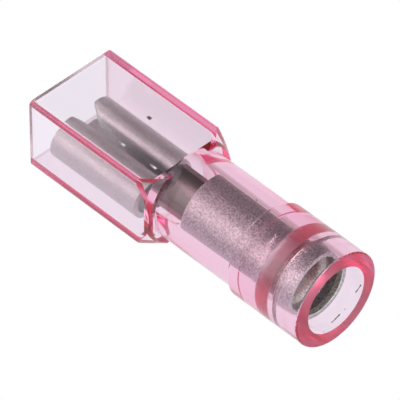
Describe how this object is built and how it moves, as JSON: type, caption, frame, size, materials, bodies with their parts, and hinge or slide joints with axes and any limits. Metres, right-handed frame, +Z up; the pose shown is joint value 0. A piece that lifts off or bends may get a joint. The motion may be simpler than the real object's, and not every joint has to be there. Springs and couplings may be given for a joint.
{
  "type": "female spade terminal",
  "caption": "Fully insulated crimp terminal: a rolled receptacle that grips a flat tab, in a clear tinted housing whose round barrel takes the wire.",
  "frame": {"origin": "under the middle of the terminal's length, on the surface that it lies on", "axes": "+X along the terminal from the tab opening to the wire entry, +Y across the tab, +Z up"},
  "size_m": [0.019, 0.0058, 0.0055],
  "materials": {
    "clear_nylon": "glossy, transparent, tinted pink",
    "tinned_brass": "smooth tin plate over brass",
    "tinned_copper": "grainy matte tin plate over copper"
  },
  "bodies": {
    "root": {"insulating_housing": "clear_nylon", "receptacle_contact": "tinned_brass", "support_sleeve": "tinned_copper"}
  },
  "joints": []
}
